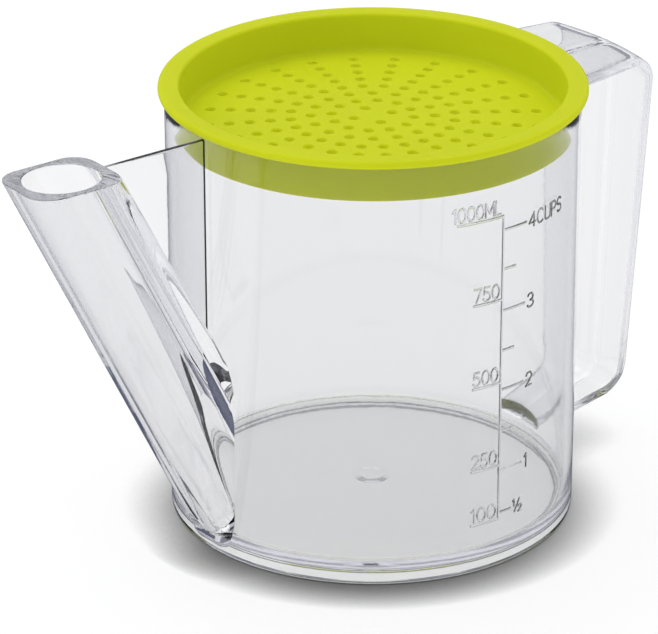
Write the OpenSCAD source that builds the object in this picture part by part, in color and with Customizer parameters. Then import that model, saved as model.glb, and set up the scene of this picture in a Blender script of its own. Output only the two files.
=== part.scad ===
// Gravy fat separator: a clear jug that pours from the bottom, with a lift-off strainer lid.
// Millimetres. The origin is on the vessel's axis at the table, +Z is up,
// the spout points along -X, the handle is at +X, and the measuring scale faces -Y.

/* [Vessel] */
// Outer radius at the foot
base_r = 57.5; // [54:0.5:64]
// How much wider the rim's outer radius is, so that the jug leaves its mould
rim_flare = 0.5; // [0:0.1:1.5]
// Height of the rim above the table
vessel_h = 125; // [110:1:150]
// Thickness of the round wall
wall = 2.3; // [1.8:0.1:3.2]
// Height of the inside floor above the table
floor_top = 6.2; // [5:0.1:9]
// Thickness of the floor
floor_t = 3.2; // [2:0.1:4.5]
// Width of the ring that the jug stands on
foot_w = 3.4; // [2.4:0.1:6]
// Radius of the corner between the floor and the wall, inside
floor_round = 2; // [0.8:0.1:3.5]
// Radius on the outer edge of the foot
foot_round = 1.2; // [0.4:0.1:1.8]
// Radius on both edges of the rim
rim_round = 0.8; // [0.2:0.1:0.8]
// Radius of the round moulding mark in the middle of the floor
gate_r = 5.2; // [3:0.1:8]
// Height of the moulding mark
gate_h = 0.5; // [0.2:0.1:1]

/* [Spout] */
// Drop from the vessel's rim to the spout's level mouth
mouth_drop = 0.9; // [0:0.1:10]
// Reach of the mouth's centre beyond the vessel's foot
mouth_out = 46.7; // [38:0.1:56]
// Length of the mouth's outside, along the spout's plane
mouth_l = 28.5; // [25:0.1:34]
// Width of the mouth's outside, across the spout's plane
mouth_w = 24.2; // [23:0.1:28]
// Corner radius of the mouth's outside
mouth_round = 7; // [4:0.1:9]
// How far the spout's outer face starts inside the foot's edge, at the table
toe_inset = 1.2; // [0.6:0.1:2.4]
// Length of the outside at the table, inside the vessel's foot
toe_l = 32.4; // [28:0.1:36]
// Width of the outside at the table
toe_w = 21.6; // [20:0.1:26]
// Radius of the bore at the mouth
bore_r = 9.7; // [7:0.1:10.5]
// Radius of the bore at the floor, narrower by the mould's draught
bore_low_r = 8.7; // [6:0.1:9.2]
// Plastic left between the bore and the spout's outer face at the floor
bore_wall = 4; // [2:0.1:5]
// Thickness of the flat web between the spout and the vessel
web_t = 2.2; // [1.2:0.1:4]
// Drop from the spout's mouth to the web's top edge
web_drop = 0; // [0:0.1:30]

/* [Handle] */
// Drop from the vessel's rim to the upper arm's top face
arm_drop = 3.7; // [1:0.1:25]
// Thickness of the strap
strap_t = 2.7; // [2:0.1:5]
// Reach of the strap's outer face beyond the vessel's foot, at the top
reach_top = 31.4; // [24:0.1:45]
// The same reach at the lower corner
reach_low = 27.2; // [22:0.1:45]
// Width of the upper arm where it joins the vessel
arm_root_w = 44.8; // [38:0.2:52]
// Width of the strap at the upper corner
arm_w = 38.6; // [28:0.2:44]
// Width of the strap at the lower corner
strap_low_w = 27; // [20:0.5:36]
// Width of the lower arm where it joins the vessel
root_w = 18; // [12:0.5:26]
// Height of the lower arm's underside at the vessel
root_z = 8.2; // [7:0.1:30]
// Rise of the lower arm's underside from the vessel to the lower corner
root_rise = 6.1; // [0:0.1:14]
// Radius of the upper corner, outside
upper_round = 7.5; // [4:0.1:14]
// Radius of the lower corner, outside
lower_round = 8.4; // [4:0.1:14]

/* [Measuring scale] */
// Width of the raised lines
line_w = 0.6; // [0.4:0.05:1]
// Height of the raised lines over the wall
line_h = 0.35; // [0.2:0.05:0.6]
// Length of the line under the highest millilitre number, round the wall
long_mark = 14.2; // [8:0.1:20]
// Length of the lines under the other millilitre numbers
ml_mark = 9; // [5:0.1:14]
// Length of a whole cup's line
cup_mark = 8.4; // [5:0.1:14]
// Length of a half cup's line
half_mark = 4.5; // [2:0.1:8]

/* [Strainer lid] */
// How far the lid's rim stands out over the vessel's rim
flange_over = 1.75; // [1:0.05:6]
// Thickness of the rim
flange_t = 2.2; // [2.1:0.1:3.5]
// Radius on the rim's outer edges
flange_round = 1; // [0.4:0.1:1.1]
// Clearance between the lid's wall and the vessel's wall
lid_gap = 0.3; // [0.15:0.05:1]
// Thickness of the dish's wall
dish_t = 1.6; // [1.2:0.1:2.4]
// Depth of the dish's wall below the vessel's rim
dish_depth = 9; // [6:0.1:30]
// Slope of the dish's wall: how much narrower it is inside at the bottom
dish_draft = 0.5; // [0:0.1:2]
// Thickness of the perforated plate
plate_t = 1.6; // [1.2:0.1:3]
// Rise of the plate's middle over its edge
plate_rise = 1.2; // [0.5:0.1:3]
// Diameter of the strainer's holes
hole_d = 2.8; // [1.5:0.1:3.6]
// Distance from one ring of holes to the next
hole_pitch = 5.75; // [4.6:0.05:6.2]

/* [Hidden] */
$fn = 96;

// Holes in each ring of the strainer, from the middle outwards, and where each ring starts
RING_HOLES = [4, 12, 16, 24, 24, 24, 24, 24];
RING_START = [-15, -13.6, -14.6, -0.4, -0.4, -0.4, -0.4, -0.4];
// Height of each millilitre mark and each half-cup mark over the floor, in a jug of MARK_SECTION
ML_RISE = [8.7, 25.2, 50.4, 75.4, 100];
HALF_CUP_RISE = [10.6, 23.5, 35.7, 48.2, 60, 72, 84.3, 95.9];
MARK_SECTION = 9955;

// How much longer than round the slanting bore is where it meets the floor
BORE_SLANT = 1.12;
// How far under the lid's plate the highest mark stays
MARK_CLEAR = 2;

// Chords round each bend of the strap
CHORDS = 12;

// Small overshoot, so that a cutter clears what it cuts
over = 1;
// Height left in a section that a hull() joins
sliver = 0.01;

rim_r = base_r + rim_flare;
mouth_z = vessel_h - mouth_drop;
mouth_reach = base_r + mouth_out;
arm_top = vessel_h - arm_drop;
strap_top_r = base_r + reach_top;
strap_low_r = base_r + reach_low;
flange_r = rim_r + flange_over;
in_rim_r = rim_r - wall;
lid_r = in_rim_r - lid_gap;
dish_low = vessel_h - dish_depth;
plate_low = dish_low - plate_t;
dish_low_r = lid_r - dish_t - dish_draft;
flange_top = vessel_h + flange_t;
dome_r = (dish_low_r * dish_low_r + plate_rise * plate_rise) / (2 * plate_rise);
rings = min(len(RING_HOLES), floor((dish_low_r - hole_d) / hole_pitch));

// The bore's centre line, from the middle of the mouth to the floor
toe_face = base_r - toe_inset;
toe_reach = toe_face - toe_l / 2;
mouth_face = mouth_reach + mouth_l / 2;
spout_face_at_floor = toe_face + (mouth_face - toe_face) * floor_top / mouth_z;
bore_drop = mouth_z - floor_top;
bore_low_x = spout_face_at_floor - bore_wall - bore_low_r * BORE_SLANT;
bore_lean = atan((mouth_reach - bore_low_x) / bore_drop);
bore_len = bore_drop / cos(bore_lean);
bore_step = (bore_r - bore_low_r) / bore_len;

// A wider jug holds more at each height, so its marks stand closer to the floor.
// Marks that the lid's plate would cover are left out.
mean_in_r = (base_r + rim_r) / 2 - wall;
section = PI * mean_in_r * mean_in_r + PI * bore_r * bore_r;
function level(rise) = floor_top + rise * MARK_SECTION / section;
function below_lid(rises) = [for (rise = rises) if (level(rise) < plate_low - MARK_CLEAR) rise];
line_top = level(max(concat(below_lid(ML_RISE), below_lid(HALF_CUP_RISE))));
line_low = level(ML_RISE[0]);
scale_angle = -90;

function out_r(z) = base_r + (rim_r - base_r) * z / vessel_h;
// Where the spout's straight back stands at a given height
function back_x(z) = toe_reach - toe_l / 2
    + (mouth_reach - mouth_l / 2 - toe_reach + toe_l / 2) * z / mouth_z;

// Corners of an outline: a unit step, the angle between two sides, and the way they turn
function unit(v) = v / norm(v);
function side(points, i, step) =
    unit(points[(i + step + len(points)) % len(points)] - points[i]);
function half_angle(a, b) = acos(a * b) / 2;
function turn(points, i) =
    cross(side(points, i, 1), side(points, i, -1));

// What a rounded corner takes from a square one, or adds to an inside one
module corner_bit(points, i, r) {
    a = side(points, i, -1);
    b = side(points, i, 1);
    half = half_angle(a, b);
    p = points[i];
    centre = p + unit(a + b) * r / sin(half);
    difference() {
        polygon([p, p + a * r / tan(half), centre, p + b * r / tan(half)]);
        translate(centre)
            circle(r = r);
    }
}

// An outline, listed anticlockwise, with its own radius at each corner
module rounded_outline(points, radii) {
    difference() {
        polygon(points);
        for (i = [0 : len(points) - 1])
            if (radii[i] > 0 && turn(points, i) > 0)
                corner_bit(points, i, radii[i]);
    }
    for (i = [0 : len(points) - 1])
        if (radii[i] > 0 && turn(points, i) < 0)
            corner_bit(points, i, radii[i]);
}

// The same outline for the strap, as one row of points with short chords round each corner
function spun(v, a) = [v.x * cos(a) - v.y * sin(a), v.x * sin(a) + v.y * cos(a)];
function corner_points(points, i, r) =
    let (
        a = side(points, i, -1),
        b = side(points, i, 1),
        half = half_angle(a, b),
        centre = points[i] + unit(a + b) * r / sin(half),
        start = points[i] + a * r / tan(half) - centre,
        sweep = sign(turn(points, i)) * (180 - 2 * half)
    )
    [for (k = [0 : CHORDS]) centre + spun(start, sweep * k / CHORDS)];
function bent_outline(points, radii) = [
    for (i = [0 : len(points) - 1])
        each radii[i] > 0 ? corner_points(points, i, radii[i]) : [points[i]]
];

// The vessel's outside as one solid, for trimming what joins it
module vessel_outside() {
    cylinder(r1 = base_r, r2 = rim_r, h = vessel_h);
}

// The rounded corner between the floor and the wall, let into the wall's thickness
module floor_fillet(corner) {
    up = unit([in_rim_r, vessel_h] - corner);
    run = floor_round / tan(half_angle([-1, 0], up));
    touch = corner + up * run;
    centre = corner + [-run, floor_round];
    difference() {
        polygon([corner - [run, 0], corner + [wall / 2, 0], touch + [wall / 2, 0],
                 touch, centre]);
        translate(centre)
            circle(r = floor_round);
    }
}

module vessel_wall() {
    low_r = out_r(floor_top);
    in_r = low_r - wall;
    color("aliceblue", 0.4)
    difference() {
        rotate_extrude() {
            rounded_outline(
                [[in_r, floor_top], [low_r, floor_top], [rim_r, vessel_h], [in_rim_r, vessel_h]],
                [0, 0, rim_round, rim_round]
            );
            floor_fillet([in_r, floor_top]);
        }
        spout_bore();
    }
}

module vessel_floor() {
    recess = floor_top - floor_t;
    ring_r = base_r - foot_w;
    color("aliceblue", 0.4) {
        rotate_extrude()
            rounded_outline(
                [[0, recess], [ring_r - recess / 4, recess], [ring_r, 0], [base_r, 0],
                 [out_r(floor_top), floor_top], [0, floor_top]],
                [0, recess / 3, foot_w / 6, foot_round, 0, 0]
            );
        translate([0, 0, floor_top])
            cylinder(r1 = gate_r, r2 = gate_r - gate_h, h = gate_h);
    }
}

// A level slice of the spout's outside
module spout_slice(l, w) {
    x = l / 2 - mouth_round;
    y = w / 2 - mouth_round;
    linear_extrude(height = sliver)
        hull()
            for (sx = [-1, 1], sy = [-1, 1])
                translate([sx * x, sy * y])
                    circle(r = mouth_round, $fn = 64);
}

// The spout's outside, which leans out from under the vessel's foot to its mouth
module spout_outside() {
    hull() {
        translate([-mouth_reach, 0, mouth_z - sliver])
            spout_slice(mouth_l, mouth_w);
        translate([-toe_reach, 0, 0])
            spout_slice(toe_l, toe_w);
    }
}

// The round bore, which stops at the level of the vessel's floor
module spout_bore() {
    intersection() {
        translate([-bore_low_x, 0, floor_top])
            rotate([0, -bore_lean, 0])
                translate([0, 0, -bore_r])
                    cylinder(
                        r1 = bore_low_r - bore_step * bore_r,
                        r2 = bore_r + bore_step * bore_r,
                        h = bore_len + 2 * bore_r
                    );
        translate([-2 * mouth_reach, -mouth_w, floor_top])
            cube([2 * mouth_reach, 2 * mouth_w, mouth_z]);
    }
}

module pouring_spout() {
    color("lightcyan", 0.4)
    difference() {
        spout_outside();
        vessel_outside();
        spout_bore();
    }
}

// The flat web that ties the spout's back to the vessel
module spout_web() {
    top = mouth_z - web_drop;
    color("lightblue", 0.4)
    difference() {
        translate([0, web_t / 2, 0])
            rotate([90, 0, 0])
                linear_extrude(height = web_t)
                    polygon([[-base_r / 2, top], [-back_x(top), top],
                             [-back_x(floor_top), floor_top]]);
        vessel_outside();
    }
}

// The strap's width at each height, from the lower arm's root up to the upper arm
module width_by_height() {
    corner_z = root_z + root_rise + lower_round;
    shoulder_z = arm_top - upper_round;
    under_arm_z = arm_top - strap_t - over;
    widening = (arm_w - strap_low_w) / 2 / (shoulder_z - corner_z);
    right = [
        [root_w / 2, 0],
        [root_w / 2, root_z + strap_t / 2],
        [strap_low_w / 2, corner_z],
        [strap_low_w / 2 + widening * (under_arm_z - corner_z), under_arm_z],
        [arm_root_w / 2 + over, under_arm_z],
        [arm_root_w / 2 + over, vessel_h]
    ];
    left = [for (i = [len(right) - 1 : -1 : 0]) [-right[i][0], right[i][1]]];
    rotate([90, 0, 90])
        linear_extrude(height = 2 * strap_top_r)
            polygon(concat(right, left));
}

// The upper arm seen from above, narrowing from the vessel to the upper corner
module width_by_reach() {
    shoulder_x = strap_top_r - upper_round;
    linear_extrude(height = vessel_h)
        polygon([
            [0, -arm_root_w / 2], [base_r, -arm_root_w / 2],
            [shoulder_x, -arm_w / 2], [2 * strap_top_r, -arm_w / 2],
            [2 * strap_top_r, arm_w / 2], [shoulder_x, arm_w / 2],
            [base_r, arm_root_w / 2], [0, arm_root_w / 2]
        ]);
}

// The open strap: upper arm, upright grip and lower arm, curved round the vessel's axis
module grip_handle() {
    inside = base_r - wall;
    slope = root_rise / (strap_low_r - base_r);
    low = root_z - slope * wall;
    lift = strap_t * sqrt(1 + slope * slope);
    grip_top_r = strap_top_r - strap_t;
    grip_low_r = strap_low_r - strap_t;
    grip_low_z = root_z + root_rise + lift - slope * strap_t;
    color("lightcyan", 0.4)
    difference() {
        intersection() {
            rotate([0, 0, -90])
                rotate_extrude(angle = 180)
                    polygon(bent_outline(
                        [[inside, low], [strap_low_r, root_z + root_rise],
                         [strap_top_r, arm_top], [inside, arm_top],
                         [inside, arm_top - strap_t], [grip_top_r, arm_top - strap_t],
                         [grip_low_r, grip_low_z], [inside, low + lift]],
                        [0, lower_round, upper_round, 0,
                         0, upper_round - strap_t, lower_round - strap_t, 0]
                    ));
            width_by_height();
            width_by_reach();
        }
        vessel_outside();
    }
}

// A block for a level line, with the length that it runs round from the upright line
module level_mark(rise, length) {
    sweep = length / base_r * 180 / PI;
    rotate([0, 0, scale_angle + min(sweep, 0)])
        rotate_extrude(angle = abs(sweep))
            translate([base_r / 2, level(rise) - line_w / 2])
                square([base_r, line_w]);
}

// Raised lines: blocks trimmed to a thin skin over the vessel's wall
module measuring_scale() {
    $fn = 256;
    last = len(ML_RISE) - 1;
    color("lightsteelblue")
    difference() {
        intersection() {
            cylinder(r1 = base_r + line_h, r2 = rim_r + line_h, h = vessel_h);
            union() {
                translate([0, 0, line_low - line_w / 2])
                    rotate([0, 0, scale_angle])
                        translate([base_r / 2, -line_w / 2, 0])
                            cube([base_r, line_w, line_top - line_low + line_w]);
                for (rise = below_lid(ML_RISE))
                    level_mark(rise, rise == ML_RISE[last] ? -long_mark : -ml_mark);
                for (i = [0 : len(below_lid(HALF_CUP_RISE)) - 1])
                    level_mark(HALF_CUP_RISE[i], i % 2 == 1 ? cup_mark : half_mark);
            }
        }
        vessel_outside();
    }
}

// The lid's rim and the wall of its dish, which stands on the plate
module strainer_rim() {
    in_top_r = lid_r - dish_t;
    color("yellowgreen")
    rotate_extrude()
        rounded_outline(
            [[dish_low_r, dish_low], [lid_r - dish_draft / 2, dish_low], [lid_r, vessel_h],
             [flange_r, vessel_h], [flange_r, flange_top], [in_top_r, flange_top]],
            [0, 0, 0, flange_round * 0.9, flange_round, flange_round]
        );
}

// The section under a low dome, from the axis to the foot of the dish's wall
module dome_section(z) {
    intersection() {
        translate([0, z + plate_rise - dome_r])
            circle(r = dome_r, $fn = 256);
        translate([0, z - 2 * plate_t])
            square([dish_low_r, 2 * plate_t + 2 * plate_rise]);
    }
}

// The perforated plate: a low dome with rings of round holes and a flat edge
module strainer_plate() {
    edge_r = lid_r - dish_draft / 2;
    color("yellowgreen")
    difference() {
        rotate_extrude() {
            difference() {
                dome_section(dish_low);
                dome_section(plate_low);
            }
            rounded_outline(
                [[dish_low_r, plate_low], [edge_r, plate_low],
                 [edge_r, dish_low], [dish_low_r, dish_low]],
                [0, plate_t / 3, 0, 0]
            );
        }
        for (k = [0 : rings - 1])
            for (i = [0 : RING_HOLES[k] - 1])
                rotate([0, 0, RING_START[k] + i * 360 / RING_HOLES[k]])
                    translate([(k + 1) * hole_pitch, 0, plate_low - over])
                        cylinder(d = hole_d, h = plate_t + plate_rise + 2 * over, $fn = 24);
    }
}

vessel_wall();
vessel_floor();
pouring_spout();
spout_web();
grip_handle();
measuring_scale();
strainer_rim();
strainer_plate();
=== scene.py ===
"""A clear gravy separator jug and its green strainer lid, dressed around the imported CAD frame.

The real thing is two mouldings. Here they are three closed meshes: the clear jug with its spout, web
and handle, the raised scale whose foot sinks into the jug's wall, and the lime green lid. Shapes are
made in millimetres, in the frame of the CAD model, and are turned into metres when they are placed.
"""

import math

import bmesh
import bpy
import numpy as np
from mathutils import Matrix, Vector


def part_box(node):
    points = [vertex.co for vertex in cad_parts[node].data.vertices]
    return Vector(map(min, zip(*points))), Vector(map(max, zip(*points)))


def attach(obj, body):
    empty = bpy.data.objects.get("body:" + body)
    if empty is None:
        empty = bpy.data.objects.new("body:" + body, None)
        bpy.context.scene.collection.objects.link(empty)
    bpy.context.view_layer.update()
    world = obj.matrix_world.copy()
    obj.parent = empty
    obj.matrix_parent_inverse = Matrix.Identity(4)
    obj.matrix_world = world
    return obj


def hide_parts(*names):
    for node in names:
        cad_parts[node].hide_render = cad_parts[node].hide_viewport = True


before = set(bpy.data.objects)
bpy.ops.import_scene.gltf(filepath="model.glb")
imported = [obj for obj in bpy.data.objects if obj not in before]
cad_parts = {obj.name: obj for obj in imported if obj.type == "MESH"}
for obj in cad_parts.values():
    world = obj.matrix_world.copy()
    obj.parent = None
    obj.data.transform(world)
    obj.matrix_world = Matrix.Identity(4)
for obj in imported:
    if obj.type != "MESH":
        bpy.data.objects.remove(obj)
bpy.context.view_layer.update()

MM = 0.001


def cad_mm(node):
    """The lowest and highest corner of a CAD node, in millimetres."""
    low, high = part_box(node)
    return Vector(low) / MM, Vector(high) / MM


# ---------------------------------------------------------------- sizes taken from the frame

wall_low, wall_high = cad_mm("vessel_wall")
spout_low, spout_high = cad_mm("pouring_spout")
handle_low, handle_high = cad_mm("grip_handle")
lid_low, lid_high = cad_mm("strainer_rim")
plate_low, plate_high = cad_mm("strainer_plate")

RIM_R = wall_high.x
RIM_Z = wall_high.z
FLOOR_Z = wall_low.z
MOUTH_Z = spout_high.z
MOUTH_TIP = -spout_low.x
MOUTH_W = spout_high.y - spout_low.y
ARM_TOP_Z = handle_high.z
STRAP_TOP_R = handle_high.x
ARM_ROOT_W = handle_high.y - handle_low.y
FLANGE_R = lid_high.x
FLANGE_TOP_Z = lid_high.z
DISH_LOW_Z = lid_low.z
PLATE_Z = plate_low.z

# ---------------------------------------------------------------- sizes of the clear jug

RIM_FLARE = 0.5
BASE_R = RIM_R - RIM_FLARE
WALL = 2.3
FOOT_W = 3.4
FOOT_RECESS = 3.0
FOOT_ROUND = 1.2
FOOT_EDGE = 0.6
FOOT_DRAFT = 0.8
FLOOR_ROUND = 2.0
RIM_ROUND = 0.8
GATE_R = 5.2
GATE_H = 0.5
GATE_SLOPE = 1.9

MOUTH_L = 28.5
MOUTH_ROUND = 7.0
MOUTH_EDGE = 0.7
MOUTH_REACH = MOUTH_TIP - MOUTH_L / 2
TOE_Z = 0.4
TOE_INSET = 1.2
TOE_L = 32.4
TOE_W = 21.6
TOE_REACH = BASE_R - TOE_INSET - TOE_L / 2
BORE_R = 9.7
BORE_LOW_R = 9.2
BORE_WALL = 5.0
BORE_SLANT = 1.12
BORE_LIFT = 0.02
WEB_T = 1.5
WEB_EDGE = 0.6
WEB_ROOT = 1.0

STRAP_T = 2.7
STRAP_LOW_R = BASE_R + 27.2
ARM_W = 38.6
STRAP_LOW_W = 27.0
ROOT_W = 19.0
ROOT_Z = 8.2
ROOT_RISE = 6.1
UPPER_ROUND = 7.5
LOWER_ROUND = 8.4
STRAP_EDGE = 0.9
STRAP_SINK = 1.75
ROOT_FILLET = 0.4
ROOT_ARCH = 2.0
ROOT_ARCH_RUN = 7.0
PARTING_LINE_H = 0.08
PARTING_LINE_HALF = 0.3

# ---------------------------------------------------------------- the raised scale

LINE_W = 0.5
LINE_H = 0.2
# Each mark of a column: its rise over the vessel's floor, its length, its word and the word's width
ML_MARKS = [
    (8.7, 9.0, "100", 8.0),
    (25.2, 9.0, "250", 8.0),
    (50.4, 9.0, "500", 8.0),
    (75.4, 9.0, "750", 8.0),
    (100.0, 14.2, "1000ML", 14.9),
]
CUP_MARKS = [
    (10.6, 4.5, "1/2", 4.5),
    (23.5, 8.4, "1", 0.9),
    (35.7, 4.5, "", 0),
    (48.2, 8.4, "2", 2.4),
    (60.0, 4.5, "", 0),
    (72.0, 8.4, "3", 2.4),
    (84.3, 4.5, "", 0),
    (95.9, 8.4, "4CUPS", 15.6),
]
TOP_WORD_SHIFT = 1.6
WORD_GAP = 1.4
LETTER_HALF = 0.16
LETTER_H = 0.22
WORD_H = 4.0
WORD_LIFT = 0.9
HALF_SIGN_H = 2.0
HALF_SLASH_H = 3.6
SCALE_ANGLE = -math.pi / 2
SCALE_LEFT = -17.0
SCALE_RIGHT = 27.0
SCALE_BELOW = 4.0
SCALE_ABOVE = 7.0
SCALE_STEP = 0.14
RIB_SLOPE = 0.3
RIB_FOOT = 0.12
RIB_DEPTH = 0.3

# ---------------------------------------------------------------- sizes of the strainer lid

LID_GAP = 0.3
DISH_T = 1.6
DISH_DRAFT = 0.5
LID_R = RIM_R - WALL - LID_GAP
FLANGE_ROUND = 1.0
FLANGE_LIFT = 0.03
PLATE_T = DISH_LOW_Z - PLATE_Z
PLATE_RISE = 1.2
DISH_ROUND = 1.4
DISH_FOOT_ROUND = 0.6
DISH_NECK_ROUND = 0.3
HOLE_R = 1.4
HOLE_EDGE = 0.3
HOLE_POINTS = 24
HOLE_PITCH = 5.75
RING_HOLES = [4, 12, 16, 24, 24, 24, 24, 24]
RING_START = [-15, -13.6, -14.6, -0.4, -0.4, -0.4, -0.4, -0.4]

TURNS = 192
BORE_POINTS = 64
SLIVER = 0.002
SHARP_DEGREES = 32


# ---------------------------------------------------------------- outlines and meshes


def rounded(points, radii, steps=8):
    """A closed outline with an arc in place of each corner that has a radius."""
    out = []
    count = len(points)
    for i, (point, radius) in enumerate(zip(points, radii)):
        corner = Vector(point)
        if radius <= 0:
            out.append(corner)
            continue
        back = (Vector(points[i - 1]) - corner).normalized()
        ahead = (Vector(points[(i + 1) % count]) - corner).normalized()
        half = back.angle(ahead) / 2
        run = radius / math.tan(half)
        centre = corner + (back + ahead).normalized() * radius / math.sin(half)
        first = corner + back * run - centre
        turn = math.pi - 2 * half
        if first.cross(corner + ahead * run - centre) < 0:
            turn = -turn
        for step in range(steps + 1):
            a = turn * step / steps
            spoke = Vector((
                first.x * math.cos(a) - first.y * math.sin(a),
                first.x * math.sin(a) + first.y * math.cos(a),
            ))
            out.append(centre + spoke)
    return out


def divided(points, longest):
    """The same closed outline, with extra points where a straight run is longer than a length."""
    out = []
    for point, after in zip(points, points[1:] + points[:1]):
        parts = max(1, math.ceil((after - point).length / longest))
        out += [point.lerp(after, i / parts) for i in range(parts)]
    return out


def oval_loop(x, y, half_x, half_y, z, count):
    """A level loop: an oval round a centre."""
    angles = [2 * math.pi * k / count for k in range(count)]
    return [Vector((x + half_x * math.cos(a), y + half_y * math.sin(a), z)) for a in angles]


def rounded_top(edge, steps):
    """Up a quarter round at a solid's top edge: how far below the top, and how far in from the side."""
    angles = [math.pi / 2 * i / steps for i in range(1, steps + 1)]
    return [(edge * (1 - math.sin(a)), edge * (1 - math.cos(a))) for a in angles]


def mesh_object(name, bm):
    """A mesh object made from a bmesh, with its faces turned outwards."""
    bmesh.ops.recalc_face_normals(bm, faces=bm.faces)
    mesh = bpy.data.meshes.new(name)
    bm.to_mesh(mesh)
    bm.free()
    obj = bpy.data.objects.new(name, mesh)
    bpy.context.scene.collection.objects.link(obj)
    return obj


def turned(name, outline):
    """A solid turned about the vertical axis from a closed outline of (radius, height) points.
    Points at radius 0 meet on the axis."""
    bm = bmesh.new()
    rings = []
    for radius, height in outline:
        if radius < 1e-6:
            rings.append([bm.verts.new((0, 0, height))] * TURNS)
            continue
        rings.append([bm.verts.new(point) for point in oval_loop(0, 0, radius, radius, height, TURNS)])
    for low, high in zip(rings, rings[1:] + rings[:1]):
        for k in range(TURNS):
            after = (k + 1) % TURNS
            corners = []
            for vert in (low[k], low[after], high[after], high[k]):
                if vert not in corners:
                    corners.append(vert)
            if len(corners) > 2:
                bm.faces.new(corners)
    return mesh_object(name, bm)


def lofted(name, loops):
    """A solid through a row of closed loops that have the same number of points."""
    bm = bmesh.new()
    rows = [[bm.verts.new(point) for point in loop] for loop in loops]
    count = len(rows[0])
    for low, high in zip(rows, rows[1:]):
        for k in range(count):
            after = (k + 1) % count
            bm.faces.new((low[k], low[after], high[after], high[k]))
    bm.faces.new(rows[0])
    bm.faces.new(rows[-1])
    return mesh_object(name, bm)


def joined(name, objects):
    """Several solids that don't touch, as one object."""
    bm = bmesh.new()
    for obj in objects:
        bm.from_mesh(obj.data)
        bpy.data.objects.remove(obj)
    return mesh_object(name, bm)


def combined(base, tool, operation):
    """The base with a tool added to it (UNION) or cut from it (DIFFERENCE). The tool is used up."""
    modifier = base.modifiers.new("combine", "BOOLEAN")
    modifier.operation = operation
    modifier.solver = "EXACT"
    modifier.object = tool
    depsgraph = bpy.context.evaluated_depsgraph_get()
    mesh = bpy.data.meshes.new_from_object(base.evaluated_get(depsgraph))
    base.modifiers.clear()
    base.data = mesh
    bpy.data.objects.remove(tool)
    return base


def without_slivers(mesh):
    """Closes up the edges and faces of no size that cutting leaves."""
    bm = bmesh.new()
    bm.from_mesh(mesh)
    bmesh.ops.dissolve_degenerate(bm, dist=SLIVER, edges=bm.edges)
    bm.to_mesh(mesh)
    bm.free()


def placed(obj, body, material, nodes):
    """Turns a finished solid into metres, smooths it, and hangs it on its body in place of CAD nodes."""
    mesh = obj.data
    without_slivers(mesh)
    mesh.transform(Matrix.Scale(MM, 4))
    mesh.materials.clear()
    mesh.materials.append(material)
    for polygon in mesh.polygons:
        polygon.use_smooth = True
    mesh.set_sharp_from_angle(angle=math.radians(SHARP_DEGREES))
    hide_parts(*nodes)
    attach(obj, body)


# ---------------------------------------------------------------- the clear jug


def wall_r(z):
    """Outer radius of the vessel's wall at a height."""
    return BASE_R + RIM_FLARE * z / RIM_Z


def vessel_outside():
    """The vessel's outside, filled solid down to the table."""
    outline = rounded(
        [(0, 0), (BASE_R, 0), (RIM_R, RIM_Z), (0, RIM_Z)],
        [0, FOOT_ROUND, RIM_ROUND, 0],
    )
    return turned("clear_jug", divided(outline, 6))


def foot_recess():
    """The hollow under the floor, inside the ring that the jug stands on."""
    foot_r = BASE_R - FOOT_W
    below = 1
    outline = rounded(
        [(0, -below), (foot_r + FOOT_EDGE + below, -below), (foot_r, FOOT_EDGE),
         (foot_r - FOOT_DRAFT, FOOT_RECESS), (0, FOOT_RECESS)],
        [0, 0, 0.3, 1.6, 0],
    )
    return turned("foot_recess", divided(outline, 6))


def vessel_space():
    """The space inside the vessel, widening over the rounded lip."""
    over = 3
    low_r = wall_r(FLOOR_Z) - WALL
    high_r = RIM_R - WALL
    floor = rounded(
        [(0, FLOOR_Z + GATE_H), (GATE_R - GATE_SLOPE, FLOOR_Z + GATE_H), (GATE_R, FLOOR_Z),
         (low_r, FLOOR_Z), (high_r, RIM_Z)],
        [0, 1.4, 0.9, FLOOR_ROUND, 0],
    )
    lip = [Vector((high_r, RIM_Z - RIM_ROUND))]
    lip += [Vector((high_r + aside, RIM_Z - below)) for below, aside in rounded_top(RIM_ROUND, 8)]
    clear_r = high_r + RIM_ROUND + 0.01
    top = [Vector((clear_r, RIM_Z)), Vector((clear_r, RIM_Z + over)), Vector((0, RIM_Z + over))]
    return turned("vessel_space", divided(floor[:-1] + lip + top, 6))


def rounded_box_loop(centre, length, width, radius, z):
    """A level loop: a rectangle with rounded corners."""
    half_l, half_w = length / 2, width / 2
    corners = [(-half_l, -half_w), (half_l, -half_w), (half_l, half_w), (-half_l, half_w)]
    return [Vector((centre + p.x, p.y, z)) for p in rounded(corners, [radius] * 4)]


def spout_rows(start_z, steps=30):
    """Heights up the spout from its foot to its mouth, each with the soft edge's step to the side."""
    edge_z = MOUTH_Z - MOUTH_EDGE
    rows = [(start_z + (edge_z - start_z) * i / steps, 0.0) for i in range(steps + 1)]
    return rows + [(MOUTH_Z - below, aside) for below, aside in rounded_top(MOUTH_EDGE, 6)]


def spout_outside():
    """The slanted spout's outside, from under the vessel's foot to its rounded mouth edge."""
    loops = []
    slope = (MOUTH_REACH - TOE_REACH) / MOUTH_Z
    for z, trim in spout_rows(TOE_Z):
        t = z / MOUTH_Z
        length = TOE_L + (MOUTH_L - TOE_L) * t - 2 * trim
        width = TOE_W + (MOUTH_W - TOE_W) * t - 2 * trim
        loops.append(rounded_box_loop(-TOE_REACH - slope * z, length, width, MOUTH_ROUND - trim, z))
    return lofted("spout_outside", loops)


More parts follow.
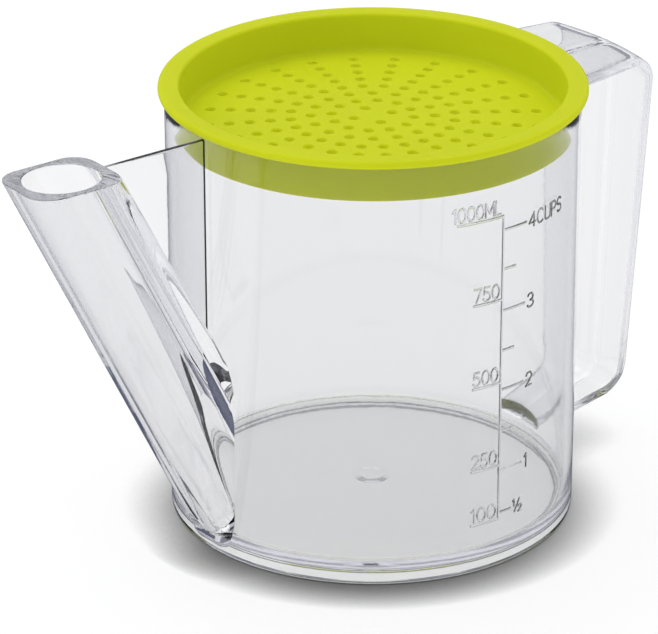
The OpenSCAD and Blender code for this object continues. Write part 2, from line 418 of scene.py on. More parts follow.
def bore_place(z):
    """Centre of the bore at a height, and its radius."""
    face_at_floor = BASE_R - TOE_INSET + (MOUTH_TIP - BASE_R + TOE_INSET) * FLOOR_Z / MOUTH_Z
    low_x = face_at_floor - BORE_WALL - BORE_LOW_R * BORE_SLANT
    t = (z - FLOOR_Z) / (MOUTH_Z - FLOOR_Z)
    return -(low_x + (MOUTH_REACH - low_x) * t), BORE_LOW_R + (BORE_R - BORE_LOW_R) * t


def spout_bore():
    """The bore, from the level of the floor up through the mouth, which it leaves with a soft edge."""
    low_x, _ = bore_place(FLOOR_Z)
    high_x, _ = bore_place(MOUTH_Z)
    lean = math.atan2(low_x - high_x, MOUTH_Z - FLOOR_Z)
    stretch = 1 / math.cos(lean)
    over = 3
    loops = []
    for z, flare in spout_rows(FLOOR_Z + BORE_LIFT) + [(MOUTH_Z + over, MOUTH_EDGE + 0.01)]:
        x, radius = bore_place(min(z, MOUTH_Z))
        loops.append(oval_loop(x, 0, radius * stretch + flare, radius + flare, z, BORE_POINTS))
    return lofted("spout_bore", loops)


def web_plate():
    """The flat web between the vessel's wall and the spout's straight back."""
    back_low = TOE_REACH - TOE_L / 2
    back_high = MOUTH_REACH - MOUTH_L / 2
    slope = (back_high - back_low) / MOUTH_Z
    crotch_z = (BASE_R - back_low) / slope
    least_w = 0.05
    sink = 3
    rows = [(crotch_z - sink, 0.0), (MOUTH_Z - WEB_EDGE, 0.0)]
    rows += [(MOUTH_Z - below, aside) for below, aside in rounded_top(WEB_EDGE, 4)]
    loops = []
    for z, trim in rows:
        near = -(wall_r(z) - WEB_ROOT)
        far = min(-(back_low + slope * z) - WEB_ROOT, near - least_w)
        y = WEB_T / 2 - trim
        corners = [(near, -y, z), (near, y, z), (far, y, z), (far, -y, z)]
        loops.append([Vector(corner) for corner in corners])
    return lofted("web_plate", loops)


def strap_line():
    """Stations down the middle of the strap's thickness, as (radius, height) points."""
    slope = ROOT_RISE / (STRAP_LOW_R - BASE_R)
    inside = BASE_R - STRAP_SINK
    lift = STRAP_T / 2 * math.sqrt(1 + slope * slope)
    half = STRAP_T / 2
    corners = [
        Vector((inside, ARM_TOP_Z - half)),
        Vector((STRAP_TOP_R - half, ARM_TOP_Z - half)),
        Vector((STRAP_LOW_R - half, ROOT_Z + ROOT_RISE + lift - slope * half)),
        Vector((inside, ROOT_Z + slope * (inside - BASE_R) + lift)),
    ]
    outline = rounded(corners, [0, UPPER_ROUND - half, LOWER_ROUND - half, 0], steps=12)
    line = []
    for point, after in zip(outline, outline[1:]):
        parts = max(1, math.ceil((after - point).length))
        line += [point.lerp(after, i / parts) for i in range(parts)]
    line.append(outline[-1])
    return line


def strap_half_width(radius, z):
    """Half the strap's width at a station: the upper arm narrows outwards, the grip downwards."""
    corner_z = ROOT_Z + ROOT_RISE + LOWER_ROUND
    high_z = ARM_TOP_Z - UPPER_ROUND
    if z >= high_z:
        narrowing = (ARM_ROOT_W - ARM_W) / 2 / (STRAP_TOP_R - UPPER_ROUND - BASE_R)
        # How far out a side of the strap lies depends on its half width: a few rounds settle both
        half = ARM_W / 2
        for _ in range(3):
            reach = math.sqrt(radius ** 2 - half ** 2) - BASE_R
            half = max(ARM_W / 2, ARM_ROOT_W / 2 - narrowing * max(reach, 0.0))
        return half
    if z >= corner_z:
        t = (z - corner_z) / (high_z - corner_z)
        return STRAP_LOW_W / 2 + (ARM_W - STRAP_LOW_W) / 2 * t
    low_z = ROOT_Z + STRAP_T / 2
    t = max(0.0, (z - low_z) / (corner_z - low_z))
    return ROOT_W / 2 + (STRAP_LOW_W - ROOT_W) / 2 * t


def root_flare(radius, z):
    """How much a round fillet adds where the strap meets the vessel's wall."""
    distance = radius - wall_r(z)
    if distance >= ROOT_FILLET:
        return 0.0
    reach = ROOT_FILLET - max(distance, 0.0)
    return ROOT_FILLET - math.sqrt(max(0.0, ROOT_FILLET ** 2 - reach ** 2))


def root_arch(radius, z):
    """How far the lower arm's upper face rises along its middle, close to the vessel's wall."""
    share = min(max((radius - wall_r(z)) / ROOT_ARCH_RUN, 0.0), 1.0)
    return ROOT_ARCH * (1 - share) ** 2 if z < ARM_TOP_Z / 2 else 0.0


def strap_section(half_w, half_t):
    """The strap's section with rounded corners: (across, through) points, with the parting lines."""
    flat = half_w - STRAP_EDGE
    section = []
    for quarter, (side_w, side_t) in enumerate(((1, 1), (-1, 1), (-1, -1), (1, -1))):
        for i in range(6):
            a = math.pi / 2 * (quarter + i / 5)
            section.append(Vector((
                side_w * flat + STRAP_EDGE * math.cos(a),
                side_t * (half_t - STRAP_EDGE) + STRAP_EDGE * math.sin(a),
            )))
        if side_w * side_t < 0:
            continue
        outwards = [flat * share for share in (0.25, 0.5, 0.75)]
        across = outwards[::-1] + [PARTING_LINE_HALF]
        section += [Vector((side_w * x, side_t * half_t)) for x in across]
        section.append(Vector((0, side_t * (half_t + PARTING_LINE_H))))
        section += [Vector((-side_w * x, side_t * half_t)) for x in reversed(across)]
    return section


def handle_strap():
    """The open strap handle, curved round the vessel's axis."""
    line = strap_line()
    loops = []
    for i, point in enumerate(line):
        before = line[max(i - 1, 0)]
        after = line[min(i + 1, len(line) - 1)]
        along = (after - before).normalized()
        out = Vector((-along.y, along.x))
        flare = root_flare(point.x, point.y)
        half_w = strap_half_width(*point) + flare
        arch = root_arch(point.x, point.y)
        loop = []
        for across, through in strap_section(half_w, STRAP_T / 2 + flare):
            if through < 0:
                through -= arch * (1 - (across / half_w) ** 2)
            radius = point.x + out.x * through
            height = point.y + out.y * through
            loop.append(Vector((math.sqrt(radius ** 2 - across ** 2), across, height)))
        loops.append(loop)
    return lofted("handle_strap", loops)


# ---------------------------------------------------------------- raised lines and numbers


def bow(x, y, rx, ry, start, end):
    """Points along a part of an oval, with its angles in degrees."""
    steps = max(2, math.ceil(abs(end - start) / 15))
    angles = [math.radians(start + (end - start) * i / steps) for i in range(steps + 1)]
    return [(x + rx * math.cos(a), y + ry * math.sin(a)) for a in angles]


# Strokes of each figure and letter, in a box of height 1 that starts at 0, and the box's width
GLYPHS = {
    "0": (0.58, [bow(0.29, 0.5, 0.29, 0.5, 0, 360)]),
    "1": (0.26, [[(0.0, 0.8), (0.2, 1.0), (0.2, 0.0)]]),
    "2": (0.56, [bow(0.28, 0.72, 0.27, 0.28, 165, -25) + [(0.0, 0.0), (0.56, 0.0)]]),
    "3": (0.54, [bow(0.25, 0.755, 0.24, 0.245, 155, -90), bow(0.25, 0.255, 0.28, 0.255, 90, -155)]),
    "4": (0.6, [[(0.44, 0.0), (0.44, 1.0), (0.0, 0.28), (0.6, 0.28)]]),
    "5": (0.56, [[(0.5, 1.0), (0.1, 1.0), (0.05, 0.52)] + bow(0.26, 0.32, 0.29, 0.32, 130, -150)]),
    "7": (0.54, [[(0.0, 1.0), (0.54, 1.0), (0.16, 0.0)]]),
    "M": (0.72, [[(0.0, 0.0), (0.0, 1.0), (0.36, 0.25), (0.72, 1.0), (0.72, 0.0)]]),
    "L": (0.46, [[(0.0, 1.0), (0.0, 0.0), (0.46, 0.0)]]),
    "C": (0.62, [bow(0.33, 0.5, 0.33, 0.5, 50, 310)]),
    "U": (0.58, [[(0.0, 1.0)] + bow(0.29, 0.29, 0.29, 0.29, 180, 360) + [(0.58, 1.0)]]),
    "P": (0.52, [[(0.0, 0.0), (0.0, 1.0), (0.26, 1.0)] + bow(0.26, 0.74, 0.26, 0.26, 90, -90)
                 + [(0.0, 0.48)]]),
    "S": (0.52, [bow(0.26, 0.75, 0.25, 0.25, 35, 270) + bow(0.26, 0.25, 0.25, 0.25, 90, -145)]),
    "/": (0.5, [[(0.0, 0.0), (0.5, 1.0)]]),
}


def word_strokes(word, run, z, width, height):
    """Strokes of a word that fills a width from a run along the wall, with its foot at a height."""
    gap = 0.17
    natural = sum(GLYPHS[letter][0] for letter in word) + gap * (len(word) - 1)
    stretch = width / natural
    strokes = []
    for letter in word:
        letter_w, lines = GLYPHS[letter]
        for line in lines:
            strokes.append([(run + x * stretch, z + y * height) for x, y in line])
        run += (letter_w + gap) * stretch
    return strokes


def half_sign(run, z):
    """Strokes of the sign for one half: a small 1 and a small 2 either side of a slash."""
    lines = word_strokes("1", run + 1.0, z + 0.1, 0.6, HALF_SIGN_H)
    lines += word_strokes("/", run + 1.7, z - 1.7, 1.9, HALF_SLASH_H)
    return lines + word_strokes("2", run + 3.2, z - 2.0, 1.3, HALF_SIGN_H)


def scale_strokes():
    """The raised lines and the figures' strokes, each as the points along it."""
    top = ML_MARKS[-1]
    lines = [[(0.0, FLOOR_Z + ML_MARKS[0][0]), (0.0, FLOOR_Z + top[0])]]
    figures = []
    for mark in ML_MARKS:
        rise, length, word, width = mark
        z = FLOOR_Z + rise
        start = -length - (TOP_WORD_SHIFT if mark is top else 0.0)
        lines.append([(-length, z), (0.0, z)])
        figures += word_strokes(word, start, z + WORD_LIFT, width, WORD_H)
    for rise, length, word, width in CUP_MARKS:
        z = FLOOR_Z + rise
        lines.append([(0.0, z), (length, z)])
        if word == "1/2":
            figures += half_sign(length, z)
        elif word:
            figures += word_strokes(word, length + WORD_GAP, z - WORD_H / 2, width, WORD_H)
    return lines, figures


def distance_to_strokes(across, up, strokes, half):
    """Distance from each place of a grid to the nearest stroke's edge, negative inside it."""
    margin = 1.0
    nearest = np.full((len(up), len(across)), 9 * margin)
    for line in strokes:
        for (x0, y0), (x1, y1) in zip(line, line[1:]):
            columns = np.flatnonzero((across > min(x0, x1) - margin) & (across < max(x0, x1) + margin))
            rows = np.flatnonzero((up > min(y0, y1) - margin) & (up < max(y0, y1) + margin))
            if not len(columns) or not len(rows):
                continue
            x, y = np.meshgrid(across[columns], up[rows])
            dx, dy = x1 - x0, y1 - y0
            t = np.clip(((x - x0) * dx + (y - y0) * dy) / max(dx * dx + dy * dy, 1e-9), 0, 1)
            away = np.hypot(x - x0 - t * dx, y - y0 - t * dy) - half
            block = np.ix_(rows, columns)
            nearest[block] = np.minimum(nearest[block], away)
    return nearest


def raised_scale():
    """The raised lines and numbers as thin ribs with sloping sides, whose feet sink into the wall."""
    low_z = FLOOR_Z + ML_MARKS[0][0] - SCALE_BELOW
    high_z = FLOOR_Z + ML_MARKS[-1][0] + SCALE_ABOVE
    across = np.arange(SCALE_LEFT, SCALE_RIGHT, SCALE_STEP)
    up = np.arange(low_z, high_z, SCALE_STEP)
    height = np.full((len(up), len(across)), -RIB_FOOT)
    near = np.zeros(height.shape, bool)
    lines, figures = scale_strokes()
    for strokes, half, top in ((lines, LINE_W / 2, LINE_H), (figures, LETTER_HALF, LETTER_H)):
        away = distance_to_strokes(across, up, strokes, half)
        soft = np.clip(0.5 - away / RIB_SLOPE, 0, 1)
        height = np.maximum(height, -RIB_FOOT + (top + RIB_FOOT) * soft * soft * (3 - 2 * soft))
        near |= away < RIB_SLOPE / 2 + SCALE_STEP
    kept = near[:-1, :-1] & near[1:, :-1] & near[:-1, 1:] & near[1:, 1:]
    # Cells that touch only at a corner get a cell between them, so that the ribs stay closed solids
    for _ in range(6):
        one = kept[:-1, :-1] & kept[1:, 1:] & ~kept[1:, :-1] & ~kept[:-1, 1:]
        two = kept[1:, :-1] & kept[:-1, 1:] & ~kept[:-1, :-1] & ~kept[1:, 1:]
        kept[1:, :-1] |= one
        kept[:-1, :-1] |= two
    bm = bmesh.new()
    tops, feet = {}, {}

    def corner(i, j):
        if (i, j) not in tops:
            tops[i, j] = bm.verts.new(wall_point(across[j], up[i], height[i, j]))
            feet[i, j] = bm.verts.new(wall_point(across[j], up[i], -RIB_DEPTH))
        return i, j

    rows, columns = kept.shape
    for i, j in zip(*np.nonzero(kept)):
        ring = [corner(i, j), corner(i, j + 1), corner(i + 1, j + 1), corner(i + 1, j)]
        bm.faces.new([tops[c] for c in ring])
        bm.faces.new([feet[c] for c in reversed(ring)])
        beside = [(i - 1, j), (i, j + 1), (i + 1, j), (i, j - 1)]
        for k, (row, column) in enumerate(beside):
            if 0 <= row < rows and 0 <= column < columns and kept[row, column]:
                continue
            a, b = ring[k], ring[(k + 1) % 4]
            bm.faces.new((tops[b], tops[a], feet[a], feet[b]))
    return mesh_object("raised_scale", bm)


def wall_point(run, z, height):
    """A point over the wall, from how far round it lies from the upright line and how high it stands."""
    radius = wall_r(z) + height
    a = SCALE_ANGLE + run / BASE_R
    return Vector((radius * math.cos(a), radius * math.sin(a), z))


# ---------------------------------------------------------------- the whole clear moulding


def clear_jug():
    """The whole clear moulding as one closed solid, so that light crosses no inner boundary."""
    jug = vessel_outside()
    for added in (spout_outside(), web_plate(), handle_strap()):
        jug = combined(jug, added, "UNION")
    for cut in (foot_recess(), vessel_space(), spout_bore()):
        jug = combined(jug, cut, "DIFFERENCE")
    return jug


# ---------------------------------------------------------------- the strainer lid


def plate_height(radius):
    """Rise of the plate's low dome over its edge."""
    edge_r = LID_R - DISH_T - DISH_DRAFT
    return PLATE_RISE * (1 - (radius / edge_r) ** 2)


def lid_outline():
    """The lid's section: flange, dish wall and domed plate."""
    low_r = LID_R - DISH_DRAFT / 2
    wall_in_low = LID_R - DISH_T - DISH_DRAFT
    wall_in_top = LID_R - DISH_T
    plate_run = [wall_in_low * i / 16 for i in range(16)]
    under = [(r, PLATE_Z + plate_height(r)) for r in plate_run]
    over = [(r, DISH_LOW_Z + plate_height(r)) for r in reversed(plate_run)]
    lip_z = RIM_Z + FLANGE_LIFT
    corners = [
        (low_r, PLATE_Z), (LID_R, lip_z), (FLANGE_R, lip_z), (FLANGE_R, FLANGE_TOP_Z),
        (wall_in_top, FLANGE_TOP_Z), (wall_in_low, DISH_LOW_Z),
    ]
    radii = [DISH_FOOT_ROUND, DISH_NECK_ROUND, FLANGE_ROUND * 0.9, FLANGE_ROUND, FLANGE_ROUND, DISH_ROUND]
    points = under + corners + over
    return rounded(points, [0] * len(under) + radii + [0] * len(over))


def hole_cutter(radius, angle):
    """A cutter for one hole of the strainer, flared a little at both faces of the plate."""
    z_low = PLATE_Z + plate_height(radius)
    z_high = z_low + PLATE_T
    over = 1.5
    soft = HOLE_EDGE * 0.35
    # From outside each face of the plate inwards: the depth under the face, and the flare
    flare = [(-over, HOLE_EDGE * 1.6), (-0.05, HOLE_EDGE), (soft, soft), (HOLE_EDGE, 0.0)]
    rows = [(z_low + depth, HOLE_R + wider) for depth, wider in flare]
    rows += [(z_high - depth, HOLE_R + wider) for depth, wider in reversed(flare)]
    x, y = radius * math.cos(angle), radius * math.sin(angle)
    return lofted("hole", [oval_loop(x, y, r, r, z, HOLE_POINTS) for z, r in rows])


def strainer_lid():
    """The green moulding: a flanged ring, a shallow dish and a plate with rings of round holes."""
    lid = turned("strainer_lid", lid_outline())
    cutters = []
    for k, (count, start) in enumerate(zip(RING_HOLES, RING_START)):
        for i in range(count):
            cutters.append(hole_cutter((k + 1) * HOLE_PITCH, math.radians(start + 360 * i / count)))
    return combined(lid, joined("holes", cutters), "DIFFERENCE")


# ---------------------------------------------------------------- materials

# The clear plastic's share of a lamp's light that gets through it, and the same at its foot ring,
# which fades in between two radii and two heights, in metres
CLEAR_SHARE = 0.98
FOOT_SHARE = 0.6
FOOT_SHADE_R = (0.0525, 0.0555)
FOOT_SHADE_Z = (0.016, 0.003)


def node(tree, kind, inputs=None, **settings):
    """A new shader node with its settings and socket values."""
    made = tree.nodes.new(kind)
    for name, value in settings.items():
        setattr(made, name, value)
    for name, value in (inputs or {}).items():
        made.inputs[name].default_value = value
    return made


def fresh_material(name):
    """A material with only an output, and its node tree."""
    material = bpy.data.materials.new(name)
    material.use_nodes = True
    tree = material.node_tree
    tree.nodes.clear()
    return material, tree


def moulded_surface_group():
    """Shared effect: the soft unevenness, haze and fine marks of a moulded plastic face."""
    group = bpy.data.node_groups.new("moulded_surface", "ShaderNodeTree")
    face = group.interface
    for name, value in (("Wave Scale", 60.0), ("Mark Scale", 900.0), ("Low", 0.03), ("High", 0.09)):
        socket = face.new_socket(name, in_out="INPUT", socket_type="NodeSocketFloat")
        socket.default_value = value
    face.new_socket("Roughness", in_out="OUTPUT", socket_type="NodeSocketFloat")
    face.new_socket("Height", in_out="OUTPUT", socket_type="NodeSocketFloat")
    face.new_socket("Haze", in_out="OUTPUT", socket_type="NodeSocketFloat")
    entry = group.nodes.new("NodeGroupInput")
    leave = group.nodes.new("NodeGroupOutput")
    place = node(group, "ShaderNodeTexCoord")
    wave = node(group, "ShaderNodeTexNoise", {"Detail": 2.0, "Roughness": 0.4})
    marks = node(group, "ShaderNodeTexNoise", {"Detail": 5.0, "Roughness": 0.6})
    haze = node(group, "ShaderNodeTexNoise", {"Scale": 22.0, "Detail": 4.0, "Roughness": 0.55})
    rough = node(group, "ShaderNodeMapRange", {"From Min": 0.35, "From Max": 0.7})
    fine = node(group, "ShaderNodeMath", {1: 0.06}, operation="MULTIPLY")
    both = node(group, "ShaderNodeMath", operation="ADD")
    link = group.links.new
    for texture in (wave, marks, haze):
        link(place.outputs["Object"], texture.inputs["Vector"])
    link(entry.outputs["Wave Scale"], wave.inputs["Scale"])
    link(entry.outputs["Mark Scale"], marks.inputs["Scale"])
    link(entry.outputs["Low"], rough.inputs["To Min"])
    link(entry.outputs["High"], rough.inputs["To Max"])
    link(haze.outputs["Fac"], rough.inputs["Value"])
    link(marks.outputs["Fac"], fine.inputs[0])
    link(wave.outputs["Fac"], both.inputs[0])
    link(fine.outputs["Value"], both.inputs[1])
    link(rough.outputs["Result"], leave.inputs["Roughness"])
    link(both.outputs["Value"], leave.inputs["Height"])
    link(haze.outputs["Fac"], leave.inputs["Haze"])
    return group


def clear_plastic(surface):
    """Clear moulded plastic: water white, with a faint cool tint in its depth. Its shadow is deepest
    round the foot, where the thick floor and wall send the light aside."""
    material, tree = fresh_material("clear_plastic")
    link = tree.links.new
    out = node(tree, "ShaderNodeOutputMaterial")
    faces = {"Wave Scale": 38.0, "Mark Scale": 700.0, "Low": 0.0, "High": 0.03}
    effect = node(tree, "ShaderNodeGroup", faces, node_tree=surface)
    bump = node(tree, "ShaderNodeBump", {"Strength": 0.1, "Distance": 0.0006})
    shader = node(tree, "ShaderNodeBsdfPrincipled", {
        "Base Color": (0.91, 0.91, 0.92, 1),
        "Metallic": 0.0,
        "IOR": 1.5,
        "Transmission Weight": 1.0,
    })
    depth = node(tree, "ShaderNodeVolumeAbsorption", {"Color": (0.80, 0.80, 0.86, 1), "Density": 10.0})
    place = node(tree, "ShaderNodeTexCoord")
    height = node(tree, "ShaderNodeSeparateXYZ")
    level_place = node(tree, "ShaderNodeCombineXYZ")
    from_axis = node(tree, "ShaderNodeVectorMath", operation="LENGTH")
    outer = node(tree, "ShaderNodeMapRange", {"From Min": FOOT_SHADE_R[0], "From Max": FOOT_SHADE_R[1]})
    low = node(tree, "ShaderNodeMapRange", {"From Min": FOOT_SHADE_Z[0], "From Max": FOOT_SHADE_Z[1]})
    foot = node(tree, "ShaderNodeMath", operation="MULTIPLY")
    lightness = node(tree, "ShaderNodeMapRange", {"To Min": CLEAR_SHARE, "To Max": FOOT_SHARE})
    clear = node(tree, "ShaderNodeBsdfTransparent")
    path = node(tree, "ShaderNodeLightPath")
    mix = node(tree, "ShaderNodeMixShader")
    link(place.outputs["Object"], height.inputs["Vector"])
    link(height.outputs["X"], level_place.inputs["X"])
    link(height.outputs["Y"], level_place.inputs["Y"])
    link(level_place.outputs["Vector"], from_axis.inputs[0])
    link(from_axis.outputs["Value"], outer.inputs["Value"])
    link(height.outputs["Z"], low.inputs["Value"])
    link(outer.outputs["Result"], foot.inputs[0])
    link(low.outputs["Result"], foot.inputs[1])
    link(foot.outputs["Value"], lightness.inputs["Value"])
    link(lightness.outputs["Result"], clear.inputs["Color"])
    link(effect.outputs["Height"], bump.inputs["Height"])
    link(effect.outputs["Roughness"], shader.inputs["Roughness"])
    link(bump.outputs["Normal"], shader.inputs["Normal"])
    link(path.outputs["Is Shadow Ray"], mix.inputs[0])
    link(shader.outputs["BSDF"], mix.inputs[1])
    link(clear.outputs["BSDF"], mix.inputs[2])
    link(mix.outputs["Shader"], out.inputs["Surface"])
    link(depth.outputs["Volume"], out.inputs["Volume"])
    return material


def green_plastic(surface):
    """Lime green moulded plastic, a little translucent, with a satin gloss."""
    material, tree = fresh_material("lime_green_plastic")
    link = tree.links.new
    out = node(tree, "ShaderNodeOutputMaterial")
    faces = {"Wave Scale": 45.0, "Mark Scale": 1400.0, "Low": 0.26, "High": 0.4}
    effect = node(tree, "ShaderNodeGroup", faces, node_tree=surface)
    tint = node(tree, "ShaderNodeValToRGB")
    deep, light = tint.color_ramp.elements
    deep.position = 0.3
    deep.color = (0.605, 0.665, 0.016, 1)
    light.position = 0.7
    light.color = (0.635, 0.695, 0.018, 1)
    bump = node(tree, "ShaderNodeBump", {"Strength": 0.15, "Distance": 0.0003})
    shader = node(tree, "ShaderNodeBsdfPrincipled", {
        "Metallic": 0.0,
        "IOR": 1.48,
        "Specular IOR Level": 0.03,
        "Subsurface Weight": 0.35,
        "Subsurface Radius": (1.0, 1.0, 0.2),
        "Subsurface Scale": 0.004,
    })
    link(effect.outputs["Haze"], tint.inputs["Fac"])
    link(tint.outputs["Color"], shader.inputs["Base Color"])
    link(effect.outputs["Roughness"], shader.inputs["Roughness"])
    link(effect.outputs["Height"], bump.inputs["Height"])
    link(bump.outputs["Normal"], shader.inputs["Normal"])
    link(shader.outputs["BSDF"], out.inputs["Surface"])
    return material


# ---------------------------------------------------------------- studio

# Angles are in radians, lengths in metres, and PX is a pixel of the photograph
PHOTO_W = 658
CAMERA_TURN = math.radians(-37.6)
CAMERA_RISE = 0.419075
CAMERA_DISTANCE = 1.3
CAMERA_AIM = Vector((0, 0, 0.06))
CAMERA_FOCUS_PX = 4595.28
AIM_RIGHT_PX = 43.326
AIM_DOWN_PX = 14.189
CAMERA_ROLL = 0.0038328
SENSOR_MM = 36.0

FLOOR_HALF = 6.0
FLOOR_DROP = 0.00005
FLOOR_GLOW = 0.66
FLOOR_SHARE = 0.4
FLOOR_DIM = (0.15, 0.16, 0.21, 1)
# The painted shadow close under the foot, an ambient occlusion darkening that only the camera sees: how far
# it reaches, the way that it leans, and how deep it gets
PAINTED_SHADOW_REACH = 0.015
PAINTED_SHADOW_LEAN = (0.50, 0.655, 0.566)
PAINTED_SHADOW_DEPTH = 1.7

AIR_LIGHT = 0.72
AIR_LOW = (0.07, 0.08, 0.15, 1)
AIR_HIGH = (0.58, 0.59, 0.6, 1)
AIR_HIGH_FROM = 0.5
# The Mix node's sockets for colours, which share their names with its sockets for numbers
MIX_A, MIX_B, MIX_RESULT = 6, 7, 2


def photo_camera():
    """A camera where the photograph's stood, with the jug's middle off the frame's centre as there."""
    yaw = math.atan(AIM_RIGHT_PX / CAMERA_FOCUS_PX)
    pitch = math.atan(AIM_DOWN_PX / math.hypot(CAMERA_FOCUS_PX, AIM_RIGHT_PX))
    data = bpy.data.cameras.new("photo_camera")
    data.sensor_fit = "HORIZONTAL"
    data.sensor_width = SENSOR_MM
    data.lens = CAMERA_FOCUS_PX * SENSOR_MM / PHOTO_W
    data.clip_end = 20
    camera = bpy.data.objects.new("photo_camera", data)
    camera.matrix_world = (
        Matrix.Translation(CAMERA_AIM)
        @ Matrix.Rotation(CAMERA_TURN, 4, "Z")
        @ Matrix.Rotation(math.pi / 2 - CAMERA_RISE, 4, "X")
        @ Matrix.Translation((0, 0, CAMERA_DISTANCE))
        @ Matrix.Rotation(yaw, 4, "Y")
        @ Matrix.Rotation(-pitch, 4, "X")
        @ Matrix.Rotation(CAMERA_ROLL, 4, "Z")
    )
    bpy.context.scene.collection.objects.link(camera)
    bpy.context.scene.camera = camera


def soft_lamp(name, direction, distance, size, power):
    """A square soft lamp that looks at the jug from a direction in the photograph's own view:
    right, away from the camera, up."""
    away = (Matrix.Rotation(CAMERA_TURN, 3, "Z") @ Vector(direction)).normalized()
    data = bpy.data.lights.new(name, "AREA")
    data.shape = "SQUARE"
    data.size = size
    data.energy = power
    lamp = bpy.data.objects.new(name, data)
    lamp.location = CAMERA_AIM + away * distance
    lamp.rotation_euler = away.to_track_quat("Z", "Y").to_euler()
    bpy.context.scene.collection.objects.link(lamp)


def white_floor():
    """A wide pale floor that keeps the jug's shadow from the lamps, with a painted shadow close round the
    foot that only the camera sees. Its own light makes it plain white to the camera and through the clear
    plastic, and it is greyer in plain reflections, like a floor in front of a set."""
    bm = bmesh.new()
    corners = [(-1, -1), (1, -1), (1, 1), (-1, 1)]
    bm.faces.new([bm.verts.new((x * FLOOR_HALF, y * FLOOR_HALF, -FLOOR_DROP)) for x, y in corners])
    floor = mesh_object("white_floor", bm)
    material, tree = fresh_material("white_floor")
    link = tree.links.new
    out = node(tree, "ShaderNodeOutputMaterial")
    matt = node(tree, "ShaderNodeBsdfDiffuse")
    # Painted shadow: ambient occlusion darkens the floor's colour and glow round the foot, for camera rays
    # only
    near = node(tree, "ShaderNodeAmbientOcclusion", {"Distance": PAINTED_SHADOW_REACH}, samples=8)
    lean = node(tree, "ShaderNodeCombineXYZ", dict(zip("XYZ", PAINTED_SHADOW_LEAN)))
    deep = node(tree, "ShaderNodeMath", {1: PAINTED_SHADOW_DEPTH}, operation="POWER")
    painted_shadow = node(tree, "ShaderNodeMix", {"A": 1.0}, data_type="FLOAT")
    shade = node(tree, "ShaderNodeMath", {1: FLOOR_SHARE}, operation="MULTIPLY")
    glow_under_painted_shadow = node(tree, "ShaderNodeMath", operation="MULTIPLY")
    dim = node(tree, "ShaderNodeBsdfDiffuse", {"Color": FLOOR_DIM})
    glow = node(tree, "ShaderNodeEmission")
    path = node(tree, "ShaderNodeLightPath")
    strength = node(tree, "ShaderNodeMapRange", {"To Min": FLOOR_GLOW, "To Max": 0.0})
    not_through = node(tree, "ShaderNodeMath", {0: 1.0}, operation="SUBTRACT")
    mirrored = node(tree, "ShaderNodeMath", operation="MULTIPLY")
    ground = node(tree, "ShaderNodeMixShader")
    both = node(tree, "ShaderNodeAddShader")
    link(lean.outputs["Vector"], near.inputs["Normal"])
    link(near.outputs["AO"], deep.inputs[0])
    link(path.outputs["Is Camera Ray"], painted_shadow.inputs["Factor"])
    link(deep.outputs["Value"], painted_shadow.inputs["B"])
    link(painted_shadow.outputs["Result"], shade.inputs[0])
    link(shade.outputs["Value"], matt.inputs["Color"])
    link(mirrored.outputs["Value"], strength.inputs["Value"])
    link(strength.outputs["Result"], glow_under_painted_shadow.inputs[0])
    link(painted_shadow.outputs["Result"], glow_under_painted_shadow.inputs[1])
    link(glow_under_painted_shadow.outputs["Value"], glow.inputs["Strength"])
    link(path.outputs["Is Transmission Ray"], not_through.inputs[1])
    link(path.outputs["Is Glossy Ray"], mirrored.inputs[0])
    link(not_through.outputs["Value"], mirrored.inputs[1])
    link(mirrored.outputs["Value"], ground.inputs[0])
    link(matt.outputs["BSDF"], ground.inputs[1])
    link(dim.outputs["BSDF"], ground.inputs[2])
    link(ground.outputs["Shader"], both.inputs[0])
    link(glow.outputs["Emission"], both.inputs[1])
    link(both.outputs["Shader"], out.inputs["Surface"])
    floor.data.materials.append(material)


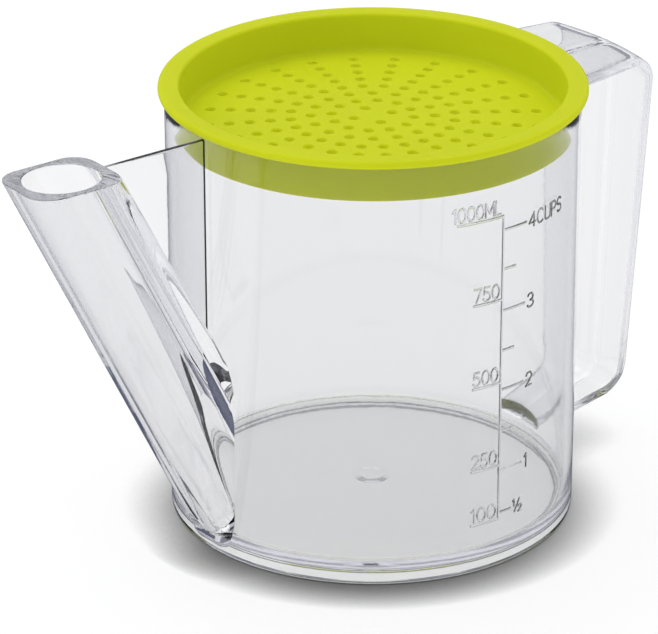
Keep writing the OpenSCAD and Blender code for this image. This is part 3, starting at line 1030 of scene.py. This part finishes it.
def studio_air():
    """Even light from all round for matt surfaces. In the clear plastic the surroundings show dark
    blue near the horizon and light grey higher up."""
    world = bpy.data.worlds.new("studio_air")
    bpy.context.scene.world = world
    world.use_nodes = True
    tree = world.node_tree
    tree.nodes.clear()
    link = tree.links.new
    out = node(tree, "ShaderNodeOutputWorld")
    soft = node(tree, "ShaderNodeBackground", {"Color": (0.98, 0.99, 1.0, 1), "Strength": AIR_LIGHT})
    seen = node(tree, "ShaderNodeBackground")
    place = node(tree, "ShaderNodeTexCoord")
    height = node(tree, "ShaderNodeSeparateXYZ")
    level = node(tree, "ShaderNodeMapRange", {"From Min": 0.0, "From Max": AIR_HIGH_FROM})
    shade = node(tree, "ShaderNodeMix", {MIX_A: AIR_LOW, MIX_B: AIR_HIGH}, data_type="RGBA")
    path = node(tree, "ShaderNodeLightPath")
    sharp = node(tree, "ShaderNodeMath", operation="MAXIMUM")
    mix = node(tree, "ShaderNodeMixShader")
    link(place.outputs["Generated"], height.inputs["Vector"])
    link(height.outputs["Z"], level.inputs["Value"])
    link(level.outputs["Result"], shade.inputs["Factor"])
    link(shade.outputs[MIX_RESULT], seen.inputs["Color"])
    link(path.outputs["Is Glossy Ray"], sharp.inputs[0])
    link(path.outputs["Is Transmission Ray"], sharp.inputs[1])
    link(sharp.outputs["Value"], mix.inputs[0])
    link(soft.outputs["Background"], mix.inputs[1])
    link(seen.outputs["Background"], mix.inputs[2])
    link(mix.outputs["Shader"], out.inputs["Surface"])


def studio():
    """Floor, surroundings and lamps: a large soft lamp overhead and a weaker one on the left."""
    white_floor()
    studio_air()
    soft_lamp("lamp_overhead", (-0.15, 0.3, 1.0), distance=1.8, size=1.8, power=9)
    soft_lamp("lamp_left", (-1.0, -0.2, 0.7), distance=1.8, size=1.0, power=2)
    bpy.context.scene.view_settings.view_transform = "Standard"
    cycles = bpy.context.scene.cycles
    cycles.max_bounces = 32
    cycles.glossy_bounces = 20
    cycles.transmission_bounces = 32
    cycles.transparent_max_bounces = 16


# ---------------------------------------------------------------- the object in its place

surface = moulded_surface_group()
JUG_NODES = ("vessel_wall", "vessel_floor", "pouring_spout", "spout_web", "grip_handle")
LID_NODES = ("strainer_rim", "strainer_plate")
clear = clear_plastic(surface)
placed(clear_jug(), "jug", clear, JUG_NODES)
placed(raised_scale(), "jug", clear, ("measuring_scale",))
placed(strainer_lid(), "strainer_lid", green_plastic(surface), LID_NODES)

studio()
photo_camera()
